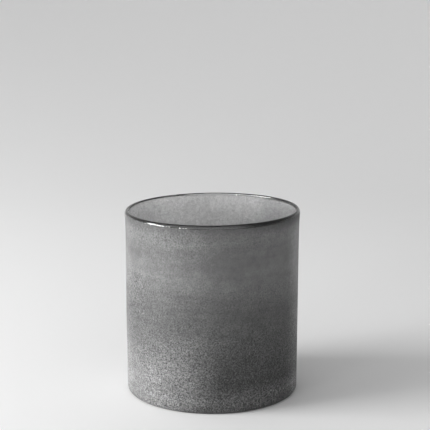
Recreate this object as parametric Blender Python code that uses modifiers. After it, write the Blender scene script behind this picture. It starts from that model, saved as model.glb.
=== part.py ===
"""A mouth-blown glass cylinder vase, modelled as the zones that the glass is made of.

Everything is turned about the Z axis, stands on Z = 0 and is in metres.
The smoke-grey wall and the thick bottom are the blown glass, the rim bead is its
fire-polished lip, and the frost skin is the glass powder fused to the outside.
"""

import math

import bmesh
import bpy

# Driving dimensions, in metres.
HEIGHT = 0.160
BODY_RADIUS = 0.0743
BODY_TAPER = 0.0005
RIM_RADIUS = 0.0756
FLARE_HEIGHT = 0.020
LIP_RADIUS = 0.0016
BEAD_HEIGHT = 0.0020
WALL_THICKNESS_AT_FOOT = 0.0045
SKIN_THICKNESS = 0.0005
BASE_THICKNESS = 0.0090
FILLET_RADIUS = 0.0080
HEEL_RADIUS = 0.0026
STANDING_RING_WIDTH = 0.0056
RECESS_DEPTH = 0.0012
RECESS_SLOPE = 0.0030
CROWN_RISE = 0.0013
DISC_RADIUS = 0.0600

# Clearance that stands for the fused seam between two zones.
SEAM = 0.0003

# How finely the turned shapes are faceted.
TURN_STEPS = 72
LIP_STEPS = 8
FILLET_STEPS = 6
HEEL_STEPS = 5
FLARE_STEPS = 4
CROWN_STEPS = 4
MERGE_DISTANCE = 0.00001
SHARP_ANGLE = math.radians(35)

# Levels and radii that follow from the driving dimensions.
BEAD_BOTTOM = HEIGHT - BEAD_HEIGHT
WALL_TOP = BEAD_BOTTOM - SEAM
LIP_INNER_RADIUS = RIM_RADIUS - 2 * LIP_RADIUS
BORE_RADIUS_AT_FOOT = BODY_RADIUS - WALL_THICKNESS_AT_FOOT
HEEL_TOP = BASE_THICKNESS + FILLET_RADIUS
WALL_FOOT = HEEL_TOP + SEAM
SKIN_LEDGE = HEEL_RADIUS + 0.0002
SKIN_FOOT = SKIN_LEDGE + SEAM


def outside_radius(height):
    """The vase's outer radius: a body that widens slightly upwards, then flares at the rim."""
    into_flare = max(0.0, (height - (HEIGHT - FLARE_HEIGHT)) / FLARE_HEIGHT)
    flare = RIM_RADIUS - BODY_RADIUS - BODY_TAPER
    return BODY_RADIUS + BODY_TAPER * height / HEIGHT + flare * into_flare**2


def glass_radius(height):
    """The outside of the glass, under the frost skin."""
    return outside_radius(height) - SKIN_THICKNESS - SEAM


def bore_radius(height):
    """The inside of the wall, which is thinner towards the lip."""
    share = (height - HEEL_TOP) / (BEAD_BOTTOM - HEEL_TOP)
    return BORE_RADIUS_AT_FOOT + (LIP_INNER_RADIUS - BORE_RADIUS_AT_FOOT) * share


def steps(start, end, count):
    """Evenly spaced values from start to end, both included."""
    return [start + (end - start) * i / count for i in range(count + 1)]


def arc(centre_radius, centre_height, radius, start_degrees, end_degrees, count):
    """Points on a circular arc in the profile plane, as (radius, height) pairs."""
    points = []
    for angle in steps(math.radians(start_degrees), math.radians(end_degrees), count):
        r = centre_radius + radius * math.cos(angle)
        z = centre_height + radius * math.sin(angle)
        points.append((r, z))
    return points


def flare_levels(top, bottom):
    """Heights down the outside: close together in the flare, then one straight run."""
    return steps(top, HEIGHT - FLARE_HEIGHT, FLARE_STEPS) + [bottom]


def rim_bead_profile():
    """A full-round lip over a short straight skirt."""
    over_the_top = arc(RIM_RADIUS - LIP_RADIUS, HEIGHT - LIP_RADIUS, LIP_RADIUS, 180, 0, LIP_STEPS)
    skirt = [(outside_radius(BEAD_BOTTOM), BEAD_BOTTOM), (LIP_INNER_RADIUS, BEAD_BOTTOM)]
    return over_the_top + skirt


def glass_wall_profile():
    """The blown wall, from the lip down to the heel."""
    outside = [(glass_radius(z), z) for z in flare_levels(WALL_TOP, WALL_FOOT)]
    inside = [(bore_radius(z), z) for z in (WALL_FOOT, WALL_TOP)]
    return outside + inside


def frost_skin_profile():
    """The fused powder layer, from the lip down to just above the standing heel."""
    levels = flare_levels(WALL_TOP, SKIN_FOOT)
    outside = [(outside_radius(z), z) for z in levels]
    inside = [(r - SKIN_THICKNESS, z) for r, z in reversed(outside)]
    return outside + inside


def heel_ring_profile():
    """The thick rounded corner that the vase stands on, with the fillet inside it."""
    flat_outer = BODY_RADIUS - HEEL_RADIUS
    flat_inner = flat_outer - STANDING_RING_WIDTH
    disc_edge = DISC_RADIUS + SEAM
    behind_skin = [(glass_radius(z), z) for z in (HEEL_TOP, SKIN_LEDGE)]
    ledge = [(BODY_RADIUS, SKIN_LEDGE)]
    heel = arc(flat_outer, HEEL_RADIUS, HEEL_RADIUS, 0, -90, HEEL_STEPS)
    underside = [(flat_inner, 0.0), (flat_inner - RECESS_SLOPE, RECESS_DEPTH)]
    inner_edge = [(disc_edge, RECESS_DEPTH), (disc_edge, BASE_THICKNESS)]
    fillet_centre = BORE_RADIUS_AT_FOOT - FILLET_RADIUS
    fillet = arc(fillet_centre, HEEL_TOP, FILLET_RADIUS, -90, 0, FILLET_STEPS)
    return behind_skin + ledge + heel + underside + inner_edge + fillet


def base_disc_profile():
    """The bottom inside the heel: crowned above, and pushed up a little underneath."""
    radii = steps(0.0, DISC_RADIUS, CROWN_STEPS)
    above = [(r, BASE_THICKNESS + crown(r)) for r in radii]
    below = [(r, RECESS_DEPTH + crown(r)) for r in reversed(radii)]
    return above + below


def crown(radius):
    """How far the bottom is pushed up, which is nothing at the disc's edge."""
    return CROWN_RISE * (1 - (radius / DISC_RADIUS) ** 2)


def glass(name, grey, alpha, roughness):
    """A Principled glass material in one neutral grey."""
    material = bpy.data.materials.new(name)
    material.use_nodes = True
    shader = material.node_tree.nodes["Principled BSDF"]
    shader.inputs["Base Color"].default_value = (grey, grey, grey, 1.0)
    shader.inputs["Alpha"].default_value = alpha
    shader.inputs["Roughness"].default_value = roughness
    shader.inputs["Metallic"].default_value = 0.0
    shader.inputs["IOR"].default_value = 1.5
    material.diffuse_color = (grey, grey, grey, alpha)
    return material


def turned(name, profile, material, collection, closed=True):
    """Spin a profile of (radius, height) points about Z, going down its outer side."""
    mesh = bpy.data.meshes.new(name)
    drawing = bmesh.new()
    corners = [drawing.verts.new((r, 0.0, z)) for r, z in profile]
    for first, second in zip(corners, corners[1:]):
        drawing.edges.new((first, second))
    if closed:
        drawing.edges.new((corners[-1], corners[0]))
    drawing.to_mesh(mesh)
    drawing.free()
    mesh.materials.append(material)
    part = bpy.data.objects.new(name, mesh)
    collection.objects.link(part)
    spin = part.modifiers.new("Turn", "SCREW")
    spin.axis = "Z"
    spin.angle = math.tau
    spin.steps = TURN_STEPS
    spin.render_steps = TURN_STEPS
    spin.use_merge_vertices = True
    spin.merge_threshold = MERGE_DISTANCE
    spin.use_smooth_shade = True
    return part


def shade_round(part):
    """Apply the turn, then shade smooth everywhere but across the real corners."""
    evaluated = part.evaluated_get(bpy.context.evaluated_depsgraph_get())
    mesh = bpy.data.meshes.new_from_object(evaluated)
    mesh.name = part.name
    mesh.shade_smooth()
    mesh.set_sharp_from_angle(angle=SHARP_ANGLE)
    part.modifiers.clear()
    part.data = mesh


def main():
    for existing in list(bpy.data.objects):
        bpy.data.objects.remove(existing)
    vase = bpy.data.collections.new("glass_cylinder_vase")
    bpy.context.scene.collection.children.link(vase)

    lip_glass = glass("lip_glass", 0.02, 0.85, 0.05)
    smoke_glass = glass("smoke_glass", 0.06, 0.60, 0.08)
    frosted_glass = glass("frosted_glass", 0.15, 0.95, 0.65)
    heel_glass = glass("heel_glass", 0.03, 0.80, 0.15)

    parts = [
        turned("rim_bead", rim_bead_profile(), lip_glass, vase),
        turned("glass_wall", glass_wall_profile(), smoke_glass, vase),
        turned("frost_skin", frost_skin_profile(), frosted_glass, vase),
        turned("heel_ring", heel_ring_profile(), heel_glass, vase),
        turned("base_disc", base_disc_profile(), heel_glass, vase, closed=False),
    ]
    for part in parts:
        shade_round(part)


main()
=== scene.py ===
"""The looks of the glass cylinder vase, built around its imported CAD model.

Every piece is a turned shell in metres, in the CAD model's frame, with the slight
unevenness of hand-blown glass. The materials are procedural, in the object's own space.
"""

import math

import bmesh
import bpy
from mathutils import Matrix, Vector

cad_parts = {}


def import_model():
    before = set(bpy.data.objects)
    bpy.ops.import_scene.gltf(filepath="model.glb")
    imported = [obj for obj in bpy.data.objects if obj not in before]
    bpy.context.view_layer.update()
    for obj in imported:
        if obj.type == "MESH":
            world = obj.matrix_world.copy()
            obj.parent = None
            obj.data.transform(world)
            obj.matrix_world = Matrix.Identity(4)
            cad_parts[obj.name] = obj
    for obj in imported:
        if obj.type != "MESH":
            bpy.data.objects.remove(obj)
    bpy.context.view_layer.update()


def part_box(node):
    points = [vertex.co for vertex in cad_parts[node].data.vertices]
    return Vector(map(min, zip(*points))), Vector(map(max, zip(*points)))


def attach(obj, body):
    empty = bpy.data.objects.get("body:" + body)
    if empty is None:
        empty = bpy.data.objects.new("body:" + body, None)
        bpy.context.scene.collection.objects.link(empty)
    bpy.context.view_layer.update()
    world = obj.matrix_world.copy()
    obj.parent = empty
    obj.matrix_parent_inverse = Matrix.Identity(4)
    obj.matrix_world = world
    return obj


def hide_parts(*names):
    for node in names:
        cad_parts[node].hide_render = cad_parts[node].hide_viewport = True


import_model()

# Sizes that the CAD model fixes.
rim_low, rim_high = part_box("rim_bead")
heel_low, heel_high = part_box("heel_ring")
disc_low, disc_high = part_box("base_disc")
HEIGHT = rim_high.z
RIM_RADIUS = rim_high.x
BEAD_BOTTOM = rim_low.z
BODY_RADIUS = heel_high.x
HEEL_TOP = heel_high.z
DISC_RADIUS = disc_high.x
RECESS_DEPTH = disc_low.z

# Sizes that repeat the CAD model's own constants.
BODY_TAPER = 0.0005
FLARE_HEIGHT = 0.020
LIP_RADIUS = 0.0016
WALL_THICKNESS_AT_FOOT = 0.0045
SKIN_THICKNESS = 0.0005
BASE_THICKNESS = 0.0090
FILLET_RADIUS = 0.0080
HEEL_RADIUS = 0.0026
STANDING_RING_WIDTH = 0.0056
RECESS_SLOPE = 0.0030
CROWN_RISE = 0.0013

# How the hand-blown glass departs from the turned shape.
RIM_TILT = 0.0087
TILT_POWER = 4
RIM_INSET = 0.0002
SWAY = 0.00022
SWAY_TURNS = 0.95
TWO_LOBED_RIPPLE = 0.00012
THREE_LOBED_RIPPLE = 0.00007

# The lip is rounded off further down its outside than its inside.
LIP_THICKNESS = 2 * LIP_RADIUS
OUTER_ROUND = 0.0022
OUTER_FALL = 0.0037
INNER_FALL = 0.0018

# The clear lip comes further down at the front, a little less so at the front right,
# and ends higher at the left.
LIP_DROP = 0.0001
LIP_DROP_FRONT = 0.0015
LIP_DROP_RIGHT = -0.0002
LIP_DROP_LEFT = -0.0012
RIGHT_DROP_ANGLE = math.radians(-30)
RIGHT_DROP_POWER = 4
DROP_REACH = 0.0060

# Pieces that the CAD keeps 0.3 mm apart all but touch here.
TOUCH = 0.00002

# How finely the shells are divided, round the axis and along their profiles.
TURN_STEPS = 240
INNER_LIP_STEPS = 12
OUTER_LIP_STEPS = 32
DROP_STEPS = 12
WALL_STEPS = 50
FROST_STEPS = 80
HEEL_STEPS = 12
FILLET_STEPS = 16
CROWN_STEPS = 40
SHARP_ANGLE = math.radians(40)

# How nearly level a face is that lies in the seam between the lip and the wall.
SEAM_LEVEL = 0.9

# The glass's index, and how strong and how fine its soft waves and its dustiness are.
GLASS_IOR = 1.5
WAVE_STRENGTH = 0.5
WAVE_SCALE = 30.0
DUST_SCALE = 90.0

# Where the lip's glass is tinted darker as painted shade, along X less half of Y, and its grey where
# darkest.
LIP_PAINTED_SHADE_SPAN = (0.052, 0.076)
LIP_PAINTED_SHADE_GREY = 0.05

# The frost's grey, and its density by height on its left side, painted lighter towards the window, and on
# its right side, painted darker as shade, as (share of the height, multiple of the grey) stops.
FROST_GREY = 0.16
LEFT_SIDE_BANDS_AND_LIGHT = (
    (0.01, 0.90),
    (0.08, 1.04),
    (0.22, 0.92),
    (0.36, 0.63),
    (0.50, 0.55),
    (0.60, 0.60),
    (0.70, 0.76),
    (0.84, 0.64),
    (0.905, 0.76),
    (0.95, 0.59),
    (0.985, 0.40),
)
RIGHT_SIDE_BANDS_AND_SHADE = (
    (0.01, 0.34),
    (0.07, 0.54),
    (0.14, 0.28),
    (0.20, 0.28),
    (0.38, 0.42),
    (0.55, 0.52),
    (0.70, 0.82),
    (0.84, 0.70),
    (0.905, 0.66),
    (0.945, 0.44),
    (0.975, 0.17),
)

# Where, along X, the painted light of the left side gives way to the painted shade of the right, and how
# far that edge leans right.
LIGHT_TO_SHADE_SIDE = (-0.049, 0.003)
FROST_LEAN = 0.062

# The frost is painted lighter at its edges, as a painted sheen: at its left edge by a factor, and at its
# right edge by an extra share that changes with height.
LEFT_SHEEN_EDGE = (-0.0730, -0.0655)
LEFT_EDGE_SHEEN = 1.12
RIGHT_SHEEN_EDGE = (0.061, 0.0735)
RIGHT_SHEEN_HEIGHTS = (0.40, 0.60)
RIGHT_SHEEN_EXTRA = (1.35, 0.65)

# How strongly the frost is speckled, as (share of the height, share of the scale) stops:
# at its left edge, beside that and at its right, and where along X each gives way to the next.
SPECKLE_SCALE = 15.0
SPECKLE_LEFT = (
    (0.08, 0.42),
    (0.19, 0.42),
    (0.30, 0.46),
    (0.42, 0.46),
    (0.53, 0.52),
    (0.63, 0.52),
    (0.68, 0.46),
    (0.73, 0.24),
    (0.80, 0.17),
    (0.90, 0.30),
)
SPECKLE_MIDDLE = (
    (0.08, 0.52),
    (0.22, 0.51),
    (0.33, 0.47),
    (0.43, 0.37),
    (0.53, 0.28),
    (0.63, 0.26),
    (0.75, 0.17),
    (0.90, 0.28),
)
SPECKLE_RIGHT = (
    (0.08, 0.76),
    (0.19, 0.74),
    (0.25, 0.62),
    (0.34, 0.52),
    (0.42, 0.37),
    (0.51, 0.22),
    (0.63, 0.20),
    (0.76, 0.06),
    (0.84, 0.09),
    (0.92, 0.19),
)
LEFT_TO_MIDDLE = (-0.064, -0.046)
MIDDLE_TO_RIGHT = (-0.014, 0.012)

# The speckles are fine grain and coarser clumps. The darkest keep a share of the grey.
FINE_SHARE = 0.6
DARKEST_SPECKLE = 0.15

# How far light spreads in the frost, outside and behind, in metres.
FROST_SCATTER = 0.003
LINING_SCATTER = 0.0031

# The back of the frost, seen inside the vase, is painted light and shade: paler towards the lip and
# darker deep down, as (share of the height, grey) stops, and darker towards its left and right, along X.
LINING_PAINTED_LIGHT = (
    (0.15, 0.14),
    (0.40, 0.18),
    (0.60, 0.27),
    (0.75, 0.47),
    (0.84, 0.63),
    (0.90, 0.74),
    (0.95, 0.87),
    (0.99, 0.98),
)
LINING_LEFT_SHADE = (-0.068, -0.002)
LINING_LEFT_SHADE_LEVEL = 0.38
LINING_RIGHT_SHADE = (0.008, 0.066)
LINING_RIGHT_SHADE_LEVEL = 0.40

# The heel, in metres: the radii over which its outside begins, the heights over which its scuffs end, its
# glass is darkened as painted shade towards the floor and its frost begins, and how that beginning rises
# to the right, partly where the frost really ends higher and partly as painted shade.
HEEL_OUTSIDE = (BODY_RADIUS - 0.0018, BODY_RADIUS - 0.0008)
SCUFFS_END = (0.0001, 0.0008)
HEEL_SHADE_HEIGHTS = (0.001, 0.004)
HEEL_FROST_BEGINS = (0.0008, 0.0017)
BARE_AND_SHADE_RISE_ACROSS = (-0.030, 0.050)
BARE_AND_SHADE_RISE = 0.0012
HEEL_GREYS = (0.080, 0.110)
SCUFF_GREY = 0.04
HEEL_ROUGHNESS = 0.15
SCUFF_ROUGHNESS = 0.35
HEEL_FROST_ROUGHNESS = 0.45

# The camera, as a 100 mm lens on a 36 mm square sensor.
CAMERA_PLACE = (0.002494, -1.00748, 0.35654)
CAMERA_PITCH = math.radians(11.413)
CAMERA_LENS = 100.0
CAMERA_SENSOR = 36.0
CAMERA_REACH = 50.0

# The studio's brightness, and the elevations between which its walls give way to the ceiling.
STUDIO_WALL = 0.82
STUDIO_CEILING = 0.05
CEILING_STARTS = math.radians(50)
CEILING_FULL = math.radians(66)

# Where the studio dims towards its right, as a direction's X, and how much is left there.
STUDIO_DIMS = (-0.1, 1.0)
STUDIO_RIGHT = 0.38

# The studio's paper sweep: a flat floor that curves up into a backdrop all round.
FLOOR_LEVEL = -0.00005
FLOOR_INNER_RADIUS = 0.3
FLOOR_RADIUS = 0.9
SWEEP_RADIUS = 4.96
SWEEP_DEGREES = 33
SWEEP_STEPS = 24
SWEEP_TURN_STEPS = 96
PAPER_GREY = 0.88

# Every lamp is this far from the vase, and this far above what its elevation gives.
LAMP_DISTANCE = 2.2
LAMP_RAISE = 0.08


def steps(start, end, count):
    """Evenly spaced values from start to end, both included."""
    return [start + (end - start) * i / count for i in range(count + 1)]


def arc(centre_radius, centre_height, across, up, start_degrees, end_degrees, count):
    """Points on an elliptical arc in the profile plane, as (radius, height) pairs."""
    points = []
    for angle in steps(math.radians(start_degrees), math.radians(end_degrees), count):
        points.append((centre_radius + across * math.cos(angle), centre_height + up * math.sin(angle)))
    return points


def outside_radius(height):
    """A body that widens slightly upwards, flares at the rim and is rounded off at the lip."""
    into_flare = max(0.0, (height - (HEIGHT - FLARE_HEIGHT)) / FLARE_HEIGHT)
    flare = RIM_RADIUS - RIM_INSET - BODY_RADIUS - BODY_TAPER
    into_round = max(0.0, (height - (HEIGHT - OUTER_FALL)) / OUTER_FALL)
    rounding = OUTER_ROUND * (1 - math.sqrt(max(0.0, 1 - into_round**2)))
    return BODY_RADIUS + BODY_TAPER * height / HEIGHT + flare * into_flare**2 - rounding


def bore_radius(height):
    """The inside of the wall, which is thinner towards the lip."""
    share = (height - HEEL_TOP) / (BEAD_BOTTOM - HEEL_TOP)
    at_foot = BODY_RADIUS - WALL_THICKNESS_AT_FOOT
    at_lip = RIM_RADIUS - RIM_INSET - LIP_THICKNESS
    return at_foot + (at_lip - at_foot) * share


def crown(radius):
    """How far the bottom is pushed up."""
    return CROWN_RISE * (1 - (radius / DISC_RADIUS) ** 2)


def drop(angle, height):
    """How far a point here has come down with the lower edge of the clear lip."""
    reach = HEIGHT - BEAD_BOTTOM if height > BEAD_BOTTOM else DROP_REACH
    near = max(0.0, 1 - abs(height - BEAD_BOTTOM) / reach)
    right = LIP_DROP_RIGHT * max(0.0, math.cos(angle - RIGHT_DROP_ANGLE)) ** RIGHT_DROP_POWER
    left = LIP_DROP_LEFT * max(0.0, -math.cos(angle))
    front = LIP_DROP_FRONT * max(0.0, -math.sin(angle))
    return near * (LIP_DROP + front + right + left)


def blown(radius, angle, height):
    """Where hand-blowing leaves a point of the turned shape."""
    lowered = height - drop(angle, height)
    radius += outside_radius(lowered) - outside_radius(height)
    share = lowered / HEIGHT
    sway = SWAY * math.cos(math.tau * (share - 1.0) * SWAY_TURNS)
    ripple = TWO_LOBED_RIPPLE * math.sin(2 * angle + 5 * share)
    ripple += THREE_LOBED_RIPPLE * math.sin(3 * angle - 7 * share)
    ripple *= 4 * share * (1 - share)
    x = (radius + ripple) * math.cos(angle) + sway * share
    y = (radius + ripple) * math.sin(angle)
    z = lowered + share**TILT_POWER * RIM_TILT * (x - RIM_RADIUS)
    return x, y, z


def join_round(build, columns, closed=True, first_end=None, last_end=None):
    """Faces from each column of points to the next, and to a point at either end."""
    for here, there in zip(columns, columns[1:] + columns[:1]):
        count = len(here)
        for i in range(count if closed else count - 1):
            j = (i + 1) % count
            build.faces.new((here[i], here[j], there[j], there[i]))
        if first_end:
            build.faces.new((first_end, here[0], there[0]))
        if last_end:
            build.faces.new((here[-1], last_end, there[-1]))


def smooth_object(name, build):
    """The built mesh as an object in the scene, shaded smooth."""
    mesh = bpy.data.meshes.new(name)
    build.to_mesh(mesh)
    build.free()
    mesh.shade_smooth()
    made = bpy.data.objects.new(name, mesh)
    bpy.context.scene.collection.objects.link(made)
    return made


def turned(name, profile, closed=True):
    """Spin a profile of (radius, height) points, going down its outer side, about Z."""
    build = bmesh.new()
    columns = []
    for turn in range(TURN_STEPS):
        angle = math.tau * turn / TURN_STEPS
        columns.append([build.verts.new(blown(r, angle, z)) for r, z in profile if r > 0])
    ends = (None, None)
    if not closed:
        ends = [build.verts.new(blown(0.0, 0.0, profile[i][1])) for i in (0, -1)]
    join_round(build, columns, closed, *ends)
    piece = smooth_object(name, build)
    piece.data.set_sharp_from_angle(angle=SHARP_ANGLE)
    return piece


def finished(piece, node, material):
    """Give the piece its material, and stand it in for its CAD node."""
    piece.data.materials.append(material)
    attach(piece, "root")
    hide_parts(node)
    return piece


def repaint(piece, material, chosen):
    """Give the piece's chosen faces a second material."""
    piece.data.materials.append(material)
    for face in piece.data.polygons:
        if chosen(face):
            face.material_index = 1


# ---- shader nodes ----------------------------------------------------------------------


def grey(level):
    """A neutral grey, opaque."""
    return (level, level, level, 1.0)


def new_material(name, **settings):
    """A material with one Principled shader, whose sockets take the settings."""
    material = bpy.data.materials.new(name)
    material.use_nodes = True
    tree = material.node_tree
    shader = tree.nodes["Principled BSDF"]
    for key, value in settings.items():
        shader.inputs[key.replace("_", " ")].default_value = value
    return material, tree, shader


def scattering(depth):
    """Shader settings that spread light through the powder, over a depth in metres."""
    return {"Subsurface_Weight": 1.0, "Subsurface_Radius": (1.0, 1.0, 1.0), "Subsurface_Scale": depth}


def add(tree, kind, **values):
    """A node with its properties set, and its sockets where a name starts with in_."""
    node = tree.nodes.new(kind)
    for key, value in values.items():
        if key.startswith("in_"):
            node.inputs[key[3:].replace("_", " ")].default_value = value
        else:
            setattr(node, key, value)
    return node


def own_space(tree):
    """The place in the object's own space, in metres."""
    return add(tree, "ShaderNodeTexCoord").outputs["Object"]


def axes(tree, place):
    """The X, Y and Z of a place."""
    split = add(tree, "ShaderNodeSeparateXYZ")
    tree.links.new(place, split.inputs["Vector"])
    return split.outputs["X"], split.outputs["Y"], split.outputs["Z"]


def math_node(tree, operation, first, second=0.0):
    """One Math node, fed by sockets or numbers."""
    node = add(tree, "ShaderNodeMath", operation=operation)
    for socket, value in zip(node.inputs, (first, second)):
        if isinstance(value, (int, float)):
            socket.default_value = value
        else:
            tree.links.new(value, socket)
    return node.outputs["Value"]


def product(tree, first, *others):
    """All the factors multiplied together."""
    result = first
    for factor in others:
        result = math_node(tree, "MULTIPLY", result, factor)
    return result


def ranged(tree, value, span, levels, easing="SMOOTHSTEP"):
    """The value's way through a span, as a number that goes from one level to the other."""
    node = add(tree, "ShaderNodeMapRange", interpolation_type=easing)
    for name, number in zip(("From Min", "From Max", "To Min", "To Max"), (*span, *levels)):
        node.inputs[name].default_value = number
    tree.links.new(value, node.inputs["Value"])
    return node.outputs["Result"]


def noise(tree, place, scale, detail, roughness):
    """Noise from 0 to 1, its scale in cells per metre."""
    node = add(tree, "ShaderNodeTexNoise", in_Scale=scale, in_Detail=detail, in_Roughness=roughness)
    tree.links.new(place, node.inputs["Vector"])
    return node.outputs["Fac"]


def mottle(tree, place, scale, spread, detail=2.0, roughness=0.5):
    """Noise as a factor that varies about 1 by the spread."""
    grain = noise(tree, place, scale, detail, roughness)
    return ranged(tree, grain, (0.3, 0.7), (1 - spread, 1 + spread), "LINEAR")


def ramp(tree, value, stops):
    """A smooth curve through (place, level) stops, whose places run from 0 to 1."""
    node = add(tree, "ShaderNodeValToRGB")
    node.color_ramp.interpolation = "CARDINAL"
    marks = node.color_ramp.elements
    while len(marks) < len(stops):
        marks.new(0.5)
    for mark, (where, level) in zip(marks, stops):
        mark.position = where
        mark.color = grey(level)
    tree.links.new(value, node.inputs["Fac"])
    return node.outputs["Color"]


def blend(tree, share, first, second):
    """The first value where the share is 0, and the second where it is 1."""
    node = add(tree, "ShaderNodeMix", data_type="FLOAT")
    for name, socket in zip(("Factor", "A", "B"), (share, first, second)):
        tree.links.new(socket, node.inputs[name])
    return node.outputs["Result"]


def bumped(tree, shader, height, strength, distance):
    """Bump the shader's surface by a height from 0 to 1, over a distance in metres."""
    node = add(tree, "ShaderNodeBump", in_Strength=strength, in_Distance=distance)
    tree.links.new(height, node.inputs["Height"])
    tree.links.new(node.outputs["Normal"], shader.inputs["Normal"])


# ---- materials -------------------------------------------------------------------------


def frost_density_and_painted_light(tree, place):
    """How much powder the glass took up, painted lighter on the left and darker on the right as shade,
    with a painted sheen at its edges, and the share of the vase's height.
    """
    x, _, z = axes(tree, place)
    height = math_node(tree, "DIVIDE", z, HEIGHT)
    leaning = math_node(tree, "SUBTRACT", x, math_node(tree, "MULTIPLY", height, FROST_LEAN))
    # Painted shade: the right side, away from the window, is darker than the left.
    shaded_share = ranged(tree, leaning, LIGHT_TO_SHADE_SIDE, (0.0, 1.0))
    bands_and_side_shade = blend(tree, shaded_share, ramp(tree, height, LEFT_SIDE_BANDS_AND_LIGHT), ramp(tree, height, RIGHT_SIDE_BANDS_AND_SHADE))

    flattened = add(tree, "ShaderNodeVectorMath", operation="MULTIPLY")
    tree.links.new(place, flattened.inputs[0])
    flattened.inputs[1].default_value = (0.1, 0.1, 1.0)
    cloud = mottle(tree, place, scale=60.0, spread=0.10)
    patch = mottle(tree, place, scale=170.0, spread=0.11)
    streak = mottle(tree, flattened.outputs["Vector"], scale=170.0, spread=0.11)

    # Painted sheen: lighter bands at the left and right edges.
    left_edge_sheen = ranged(tree, x, LEFT_SHEEN_EDGE, (LEFT_EDGE_SHEEN, 1.0))
    right_sheen_share = ranged(tree, height, RIGHT_SHEEN_HEIGHTS, RIGHT_SHEEN_EXTRA)
    right_edge_sheen = product(tree, right_sheen_share, ranged(tree, x, RIGHT_SHEEN_EDGE, (0.0, 1.0)))
    right_edge_sheen = math_node(tree, "ADD", right_edge_sheen, 1.0)
    return product(tree, bands_and_side_shade, cloud, patch, streak, right_edge_sheen, left_edge_sheen), height


def speckle_strength(tree, place, height):
    """The share of SPECKLE_SCALE that the speckles have here."""
    x, _, _ = axes(tree, place)
    inward = ranged(tree, x, LEFT_TO_MIDDLE, (0.0, 1.0))
    onward = ranged(tree, x, MIDDLE_TO_RIGHT, (0.0, 1.0))
    left = ramp(tree, height, SPECKLE_LEFT)
    middle = ramp(tree, height, SPECKLE_MIDDLE)
    right = ramp(tree, height, SPECKLE_RIGHT)
    return blend(tree, onward, blend(tree, inward, left, middle), right)


def frost_colour(tree, place):
    """The speckled grey of the powder, with its painted light and shade, and the grain behind it."""
    density, height = frost_density_and_painted_light(tree, place)
    fine = noise(tree, place, scale=1100.0, detail=3.0, roughness=0.6)
    clumps = noise(tree, place, scale=700.0, detail=2.0, roughness=0.5)
    grain = math_node(tree, "ADD", product(tree, fine, FINE_SHARE), product(tree, clumps, 1 - FINE_SHARE))
    contrast = product(tree, speckle_strength(tree, place, height), SPECKLE_SCALE)
    speckle = product(tree, math_node(tree, "SUBTRACT", grain, 0.5), contrast)
    speckle = math_node(tree, "MAXIMUM", math_node(tree, "ADD", speckle, 1.0), DARKEST_SPECKLE)
    return product(tree, density, speckle, FROST_GREY), grain


def frost_material():
    """The matte, speckled powder on the outside, with painted shade on its right and a painted sheen at
    its edges.
    """
    material, tree, shader = new_material("frosted_glass", Roughness=0.6, **scattering(FROST_SCATTER))
    colour, grain = frost_colour(tree, own_space(tree))
    tree.links.new(colour, shader.inputs["Base Color"])
    bumped(tree, shader, grain, strength=0.4, distance=0.0001)
    return material


def lining_material():
    """The back of the frost, seen through the glass, with painted light towards the lip and painted shade
    deep down and at its left and right.
    """
    material, tree, shader = new_material("frost_lining_painted_light", Roughness=0.8, **scattering(LINING_SCATTER))
    place = own_space(tree)
    x, _, z = axes(tree, place)
    # Painted light near the lip, and painted shade deep down and at the left and right.
    level = ramp(tree, math_node(tree, "DIVIDE", z, HEIGHT), LINING_PAINTED_LIGHT)
    left = ranged(tree, x, LINING_LEFT_SHADE, (LINING_LEFT_SHADE_LEVEL, 1.0))
    right = ranged(tree, x, LINING_RIGHT_SHADE, (1.0, LINING_RIGHT_SHADE_LEVEL))
    speckle = mottle(tree, place, scale=800.0, spread=0.26, detail=3.0, roughness=0.6)
    patch = mottle(tree, place, scale=260.0, spread=0.15)
    tree.links.new(product(tree, level, left, right, speckle, patch), shader.inputs["Base Color"])
    return material


def glass_material(name, density, wave, dust):
    """Smoke-grey glass, with the soft waves of blowing and a faint dustiness.

    The density is of its black absorption, per metre. The wave is its depth in metres,
    and the dust is the greatest roughness.
    """
    clear = {"Base_Color": grey(1.0), "IOR": GLASS_IOR, "Transmission_Weight": 1.0}
    material, tree, shader = new_material(name, **clear)
    smoke = add(tree, "ShaderNodeVolumeAbsorption", in_Density=density, in_Color=grey(0.0))
    tree.links.new(smoke.outputs["Volume"], tree.nodes["Material Output"].inputs["Volume"])
    place = own_space(tree)
    dusty = noise(tree, place, DUST_SCALE, detail=3.0, roughness=0.6)
    tree.links.new(ranged(tree, dusty, (0.35, 0.7), (dust / 2, dust)), shader.inputs["Roughness"])
    waves = noise(tree, place, WAVE_SCALE, detail=0.0, roughness=0.4)
    bumped(tree, shader, waves, WAVE_STRENGTH, wave)
    return material


def shade_front_right_of_lip(material):
    """Painted shade: the lip's glass is tinted darkest at the front right."""
    tree = material.node_tree
    x, y, _ = axes(tree, own_space(tree))
    toward = math_node(tree, "SUBTRACT", x, math_node(tree, "MULTIPLY", y, 0.5))
    # Painted shade: a darker tint at the front right of the lip.
    painted_shade = ranged(tree, toward, LIP_PAINTED_SHADE_SPAN, (1.0, LIP_PAINTED_SHADE_GREY))
    tree.links.new(painted_shade, tree.nodes["Principled BSDF"].inputs["Base Color"])


def seam_material():
    """The fused seam inside the glass, which can't be seen."""
    clear = {"Base_Color": grey(1.0), "IOR": 1.0, "Transmission_Weight": 1.0}
    material, _, _ = new_material("fused_seam", Roughness=0.0, **clear)
    return material


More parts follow.
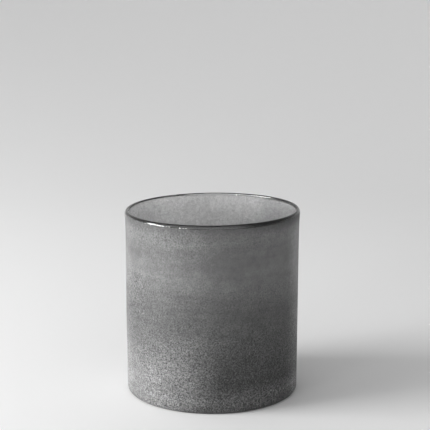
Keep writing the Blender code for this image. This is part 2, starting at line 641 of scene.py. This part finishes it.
def heel_material():
    """Thick dark glass: frosted round its outside, scuffed where it stands, and darker by the floor as
    painted shade.
    """
    material, tree, shader = new_material("heel_glass", IOR=GLASS_IOR)
    place = own_space(tree)
    x, y, z = axes(tree, place)

    squares = math_node(tree, "ADD", math_node(tree, "POWER", x, 2.0), math_node(tree, "POWER", y, 2.0))
    outside = ranged(tree, math_node(tree, "SQRT", squares), HEEL_OUTSIDE, (0.0, 1.0))
    # The bare band rises to the right, partly where the frost ends and partly as painted shade.
    bare_and_shade_rise = ranged(tree, x, BARE_AND_SHADE_RISE_ACROSS, (0.0, BARE_AND_SHADE_RISE))
    above_bare = math_node(tree, "SUBTRACT", z, bare_and_shade_rise)
    frosted = product(tree, outside, ranged(tree, above_bare, HEEL_FROST_BEGINS, (0.0, 1.0)))

    foot = ranged(tree, z, SCUFFS_END, (1.0, 0.0))
    scuffs = noise(tree, place, scale=900.0, detail=4.0, roughness=0.7)
    worn = product(tree, foot, ranged(tree, scuffs, (0.45, 0.65), (0.0, 1.0)))
    cloud = noise(tree, place, scale=70.0, detail=3.0, roughness=0.6)
    clouded = ranged(tree, cloud, (0.35, 0.7), HEEL_GREYS)
    # Painted shade: the glass is darker in its lowest millimetres, by the floor.
    depth = product(tree, clouded, ranged(tree, z, HEEL_SHADE_HEIGHTS, (0.4, 1.0)))
    bare = math_node(tree, "ADD", depth, product(tree, worn, SCUFF_GREY))
    powder, _ = frost_colour(tree, place)
    tree.links.new(blend(tree, frosted, bare, powder), shader.inputs["Base Color"])

    worn_rough = product(tree, worn, SCUFF_ROUGHNESS)
    frosted_rough = product(tree, frosted, HEEL_FROST_ROUGHNESS)
    rough = math_node(tree, "MAXIMUM", worn_rough, frosted_rough)
    tree.links.new(math_node(tree, "ADD", rough, HEEL_ROUGHNESS), shader.inputs["Roughness"])
    waves = noise(tree, place, scale=60.0, detail=2.0, roughness=0.5)
    bumped(tree, shader, waves, strength=0.4, distance=0.0002)
    return material


# ---- pieces ----------------------------------------------------------------------------


def levels_down(bottom, count):
    """Heights from under the lip to the bottom, closer together where the lip comes down."""
    top = BEAD_BOTTOM - TOUCH
    return steps(top, top - DROP_REACH, DROP_STEPS)[:-1] + steps(top - DROP_REACH, bottom, count)


def lip_profile():
    """The clear lip, from its inside over the top and down its outside."""
    apex = RIM_RADIUS - RIM_INSET - OUTER_ROUND
    inner_round = LIP_THICKNESS - OUTER_ROUND
    inside = arc(apex, HEIGHT - INNER_FALL, inner_round, INNER_FALL, 180, 90, INNER_LIP_STEPS)
    outside = arc(apex, HEIGHT - OUTER_FALL, OUTER_ROUND, OUTER_FALL, 90, 0, OUTER_LIP_STEPS)
    outside = [point for point in outside[1:] if point[1] > BEAD_BOTTOM + TOUCH]
    foot = [(outside_radius(BEAD_BOTTOM), BEAD_BOTTOM), (apex - inner_round, BEAD_BOTTOM)]
    return inside + outside + foot


def wall_profile():
    """The blown wall, from under the lip to the heel."""
    levels = levels_down(HEEL_TOP + TOUCH, WALL_STEPS)
    outside = [(outside_radius(z) - SKIN_THICKNESS - TOUCH, z) for z in levels]
    inside = [(bore_radius(z), z) for z in reversed(levels)]
    return outside + inside


def frost_profile():
    """The fused powder, from under the lip to the rounded part of the heel."""
    outside = [(outside_radius(z), z) for z in levels_down(HEEL_RADIUS + TOUCH, FROST_STEPS)]
    inside = [(r - SKIN_THICKNESS, z) for r, z in reversed(outside)]
    return outside + inside


def heel_profile():
    """The thick rounded corner that the vase stands on, with the fillet inside it."""
    flat_outer = BODY_RADIUS - HEEL_RADIUS
    flat_inner = flat_outer - STANDING_RING_WIDTH
    edge = DISC_RADIUS + TOUCH
    behind = SKIN_THICKNESS + TOUCH
    behind_skin = [(outside_radius(z) - behind, z) for z in (HEEL_TOP, HEEL_RADIUS)]
    heel = arc(flat_outer, HEEL_RADIUS, HEEL_RADIUS, HEEL_RADIUS, 0, -90, HEEL_STEPS)
    underside = [(flat_inner - RECESS_SLOPE, RECESS_DEPTH)]
    inner_edge = [(edge, RECESS_DEPTH), (edge, BASE_THICKNESS)]
    centre = BODY_RADIUS - WALL_THICKNESS_AT_FOOT - FILLET_RADIUS
    fillet = arc(centre, HEEL_TOP, FILLET_RADIUS, FILLET_RADIUS, -90, 0, FILLET_STEPS)
    return behind_skin + heel + underside + inner_edge + fillet


def disc_profile():
    """The bottom inside the heel, crowned above and pushed up underneath."""
    radii = steps(0.0, DISC_RADIUS, CROWN_STEPS)
    above = [(r, BASE_THICKNESS + crown(r)) for r in radii]
    below = [(r, RECESS_DEPTH + crown(r)) for r in reversed(radii)]
    return above + below


# ---- stage -----------------------------------------------------------------------------


def stage():
    """A sweep of pale paper, whose floor curves up into its backdrop."""
    outline = [(r, FLOOR_LEVEL) for r in (FLOOR_INNER_RADIUS, FLOOR_RADIUS)]
    bend = (FLOOR_RADIUS, SWEEP_RADIUS, SWEEP_RADIUS, SWEEP_RADIUS)
    outline += arc(*bend, -90, SWEEP_DEGREES - 90, SWEEP_STEPS)[1:]
    build = bmesh.new()
    hub = build.verts.new((0, 0, FLOOR_LEVEL))
    columns = []
    for turn in range(SWEEP_TURN_STEPS):
        angle = math.tau * turn / SWEEP_TURN_STEPS
        along, across = math.cos(angle), math.sin(angle)
        columns.append([build.verts.new((r * along, r * across, z)) for r, z in outline])
    join_round(build, columns, closed=False, first_end=hub)
    sweep = smooth_object("studio_sweep", build)
    matte = {"Roughness": 0.9, "Specular_IOR_Level": 0.2}
    material, _, _ = new_material("pale_paper", Base_Color=grey(PAPER_GREY), **matte)
    sweep.data.materials.append(material)


def world():
    """Light from the walls of the studio, dimmer to the right, with a dark ceiling above."""
    made = bpy.data.worlds.new("studio")
    bpy.context.scene.world = made
    made.use_nodes = True
    tree = made.node_tree
    x, _, z = axes(tree, add(tree, "ShaderNodeTexCoord").outputs["Generated"])
    ceiling = (math.sin(CEILING_STARTS), math.sin(CEILING_FULL))
    upward = ranged(tree, z, ceiling, (STUDIO_WALL, STUDIO_CEILING))
    rightward = ranged(tree, x, STUDIO_DIMS, (1.0, STUDIO_RIGHT))
    background = tree.nodes["Background"]
    background.inputs["Color"].default_value = grey(1.0)
    tree.links.new(product(tree, upward, rightward), background.inputs["Strength"])


def area_light(name, azimuth, elevation, width, height, power):
    """A soft box aimed at the vase's foot, its azimuth from the viewer towards the left."""
    aim = bpy.data.lights.new(name, "AREA")
    aim.shape = "RECTANGLE"
    aim.size = width
    aim.size_y = height
    aim.energy = power
    lamp = bpy.data.objects.new(name, aim)
    a, e = math.radians(azimuth), math.radians(elevation)
    x = -math.sin(a) * math.cos(e) * LAMP_DISTANCE
    y = -math.cos(a) * math.cos(e) * LAMP_DISTANCE
    lamp.location = (x, y, math.sin(e) * LAMP_DISTANCE + LAMP_RAISE)
    to_vase = -lamp.location.normalized()
    lamp.rotation_euler = to_vase.to_track_quat("-Z", "Y").to_euler()
    bpy.context.scene.collection.objects.link(lamp)


def camera():
    """A long lens in front of the vase, looking down at it a little."""
    lens = bpy.data.cameras.new("camera")
    lens.lens = CAMERA_LENS
    lens.sensor_width = CAMERA_SENSOR
    lens.clip_end = CAMERA_REACH
    seat = bpy.data.objects.new("camera", lens)
    seat.location = CAMERA_PLACE
    seat.rotation_euler = (math.pi / 2 - CAMERA_PITCH, 0.0, 0.0)
    bpy.context.scene.collection.objects.link(seat)
    bpy.context.scene.camera = seat


camera()
world()
stage()
area_light("window", azimuth=79.0, elevation=15.0, width=1.10, height=0.80, power=61.0)
area_light("window_side", azimuth=60.0, elevation=15.0, width=0.40, height=0.30, power=6.5)
area_light("window_front", azimuth=37.0, elevation=6.0, width=0.50, height=0.25, power=9.0)
bpy.context.scene.view_settings.view_transform = "Standard"

smoke = glass_material("smoke_glass", density=60.0, wave=0.0003, dust=0.05)
frost = frost_material()
lining = lining_material()
lip = glass_material("lip_glass", density=95.0, wave=0.0001, dust=0.10)
shade_front_right_of_lip(lip)
heel = heel_material()
rim = finished(turned("rim_lip", lip_profile()), "rim_bead", lip)
wall = finished(turned("blown_wall", wall_profile()), "glass_wall", smoke)
seam = seam_material()
repaint(rim, seam, lambda face: face.normal.z < -SEAM_LEVEL)
repaint(wall, seam, lambda face: face.normal.z > SEAM_LEVEL)
skin = finished(turned("frosted_skin", frost_profile()), "frost_skin", frost)
repaint(skin, lining, lambda face: face.normal.dot(face.center) < 0)
finished(turned("rounded_heel", heel_profile()), "heel_ring", heel)
finished(turned("crowned_base", disc_profile(), closed=False), "base_disc", heel)
